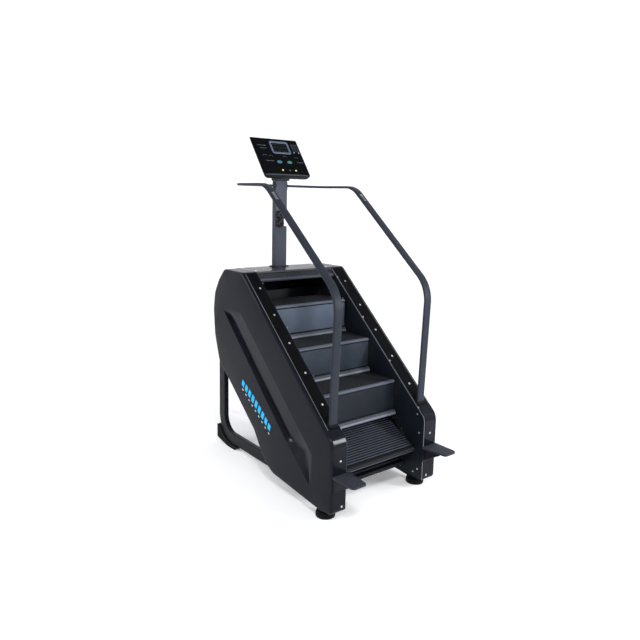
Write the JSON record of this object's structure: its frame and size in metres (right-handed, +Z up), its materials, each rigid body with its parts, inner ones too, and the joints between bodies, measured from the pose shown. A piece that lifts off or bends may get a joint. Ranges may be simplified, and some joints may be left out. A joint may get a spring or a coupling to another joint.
{
  "type": "stair climber",
  "caption": "Self-powered stair climber: revolving steps between two covered side frames, with a mast, a tilted console and bent handrails.",
  "frame": {"origin": "floor level, at the middle of the outline seen from above", "axes": "+X to the climber's right, +Y from the lowest step towards the console, +Z up"},
  "size_m": [0.82, 1.57, 2.1123],
  "materials": {
    "cover_plastic": "satin",
    "frame_paint": "textured",
    "rail_paint": "textured",
    "step_paint": "satin",
    "steel": "machined",
    "alloy": "cast",
    "rubber": "matte",
    "console_plastic": "glossy",
    "display_lens": "glossy",
    "button_plastic": "satin"
  },
  "bodies": {
    "machine": {"side_frame_left": "frame_paint", "side_frame_right": "frame_paint", "rear_leg_left": "frame_paint", "rear_leg_right": "frame_paint", "rear_shoe_left": "rubber", "rear_shoe_right": "rubber", "mounting_step_left": "frame_paint", "mounting_step_right": "frame_paint", "outer_cover_left": "cover_plastic", "outer_cover_right": "cover_plastic", "inner_panel_left": "cover_plastic", "inner_panel_right": "cover_plastic", "upper_bearing_left": "frame_paint", "upper_bearing_right": "frame_paint", "lower_bearing_left": "frame_paint", "lower_bearing_right": "frame_paint", "stair_chain_left": "steel", "stair_chain_right": "steel", "handrail_left": "rail_paint", "handrail_right": "rail_paint", "upper_crossbeam": "frame_paint", "lower_crossbeam": "frame_paint", "rear_crossbeam": "frame_paint", "top_panel": "cover_plastic", "header_beam": "rail_paint", "rear_panel": "cover_plastic", "drive_belt": "rubber", "generator": "alloy", "control_box": "frame_paint", "mast": "rail_paint", "console_neck": "frame_paint", "console_housing": "console_plastic", "console_fascia": "console_plastic", "display_screen": "display_lens"},
    "upper_drive": {"upper_shaft": "steel", "drive_pulley": "alloy", "upper_sprocket_left": "steel", "upper_sprocket_right": "steel"},
    "lower_drive": {"lower_sprocket_shaft": "steel"},
    "generator_rotor": {"generator_pulley": "steel"},
    "step_1": {"tread_1": "step_paint", "riser_1": "step_paint"},
    "step_2": {"tread_2": "step_paint", "riser_2": "step_paint"},
    "step_3": {"tread_3": "step_paint", "riser_3": "step_paint"},
    "step_4": {"tread_4": "step_paint", "riser_4": "step_paint"},
    "return_5": {"return_step_5": "step_paint"},
    "return_6": {"return_step_6": "step_paint"},
    "return_7": {"return_step_7": "step_paint"},
    "return_8": {"return_step_8": "step_paint"},
    "return_9": {"return_step_9": "step_paint"},
    "upper_knob": {"mast_knob_upper": "rubber"},
    "lower_knob": {"mast_knob_lower": "rubber"},
    "foot_left": {"front_foot_left": "rubber"},
    "foot_right": {"front_foot_right": "rubber"},
    "start_key": {"start_button": "button_plastic"},
    "stop_key": {"stop_button": "button_plastic"}
  },
  "joints": [
    {"name": "stair_drive", "type": "hinge", "parent": "machine", "child": "upper_drive", "pos_m": [0, 0.473, 0.99653], "axis": [1, 0, 0], "range_deg": [0, 36]},
    {"name": "lower_shaft_turn", "type": "hinge", "parent": "machine", "child": "lower_drive", "pos_m": [0, -0.385, 0.23844], "axis": [1, 0, 0], "range_deg": [0, 36]},
    {"name": "generator_turn", "type": "hinge", "parent": "machine", "child": "generator_rotor", "pos_m": [0, 0.19, 0.69], "axis": [1, 0, 0], "range_deg": [0, 150]},
    {"name": "step_1_travel", "type": "slide", "parent": "machine", "child": "step_1", "axis": [0, -0.7494, -0.6621], "range_m": [0, 0.066]},
    {"name": "step_2_travel", "type": "slide", "parent": "machine", "child": "step_2", "axis": [0, -0.7494, -0.6621], "range_m": [0, 0.066]},
    {"name": "step_3_travel", "type": "slide", "parent": "machine", "child": "step_3", "axis": [0, -0.7494, -0.6621], "range_m": [0, 0.066]},
    {"name": "step_4_tip", "type": "hinge", "parent": "machine", "child": "step_4", "pos_m": [0, -0.323, 0.1566], "axis": [1, 0, 0], "range_deg": [0, 18.5]},
    {"name": "return_5_travel", "type": "slide", "parent": "machine", "child": "return_5", "axis": [0, 0.7494, 0.6621], "range_m": [0, 0.066]},
    {"name": "return_6_travel", "type": "slide", "parent": "machine", "child": "return_6", "axis": [0, 0.7494, 0.6621], "range_m": [0, 0.066]},
    {"name": "return_7_travel", "type": "slide", "parent": "machine", "child": "return_7", "axis": [0, 0.7494, 0.6621], "range_m": [0, 0.066]},
    {"name": "return_8_travel", "type": "slide", "parent": "machine", "child": "return_8", "axis": [0, 0.7494, 0.6621], "range_m": [0, 0.066]},
    {"name": "return_9_turn", "type": "hinge", "parent": "machine", "child": "return_9", "pos_m": [0, 0.473, 0.99653], "axis": [1, 0, 0], "range_deg": [0, 36]},
    {"name": "upper_knob_turn", "type": "hinge", "parent": "machine", "child": "upper_knob", "pos_m": [-0.022, 0.45, 1.612], "axis": [0, -1, 0], "range_deg": [0, 720]},
    {"name": "lower_knob_turn", "type": "hinge", "parent": "machine", "child": "lower_knob", "pos_m": [-0.022, 0.45, 1.556], "axis": [0, -1, 0], "range_deg": [0, 720]},
    {"name": "foot_left_turn", "type": "hinge", "parent": "machine", "child": "foot_left", "pos_m": [-0.355, -0.51, 0], "axis": [0, 0, 1], "range_deg": [-180, 180]},
    {"name": "foot_right_turn", "type": "hinge", "parent": "machine", "child": "foot_right", "pos_m": [0.355, -0.51, 0], "axis": [0, 0, 1], "range_deg": [-180, 180]},
    {"name": "start_press", "type": "slide", "parent": "machine", "child": "start_key", "axis": [0, 0.8049, -0.5934], "range_m": [0, 0.0015], "stiffness_N_per_m": 900},
    {"name": "stop_press", "type": "slide", "parent": "machine", "child": "stop_key", "axis": [0, 0.8049, -0.5934], "range_m": [0, 0.0015], "stiffness_N_per_m": 900}
  ],
  "couplings": [
    {"joint": "lower_shaft_turn", "follows": "stair_drive", "ratio": 1},
    {"joint": "generator_turn", "follows": "stair_drive", "ratio": 4.0727},
    {"joint": "step_1_travel", "follows": "stair_drive", "m_per_rad": 0.105},
    {"joint": "step_2_travel", "follows": "stair_drive", "m_per_rad": 0.105},
    {"joint": "step_3_travel", "follows": "stair_drive", "m_per_rad": 0.105},
    {"joint": "step_4_tip", "follows": "stair_drive", "ratio": 0.5},
    {"joint": "return_5_travel", "follows": "stair_drive", "m_per_rad": 0.105},
    {"joint": "return_6_travel", "follows": "stair_drive", "m_per_rad": 0.105},
    {"joint": "return_7_travel", "follows": "stair_drive", "m_per_rad": 0.105},
    {"joint": "return_8_travel", "follows": "stair_drive", "m_per_rad": 0.105},
    {"joint": "return_9_turn", "follows": "stair_drive", "ratio": 1}
  ]
}
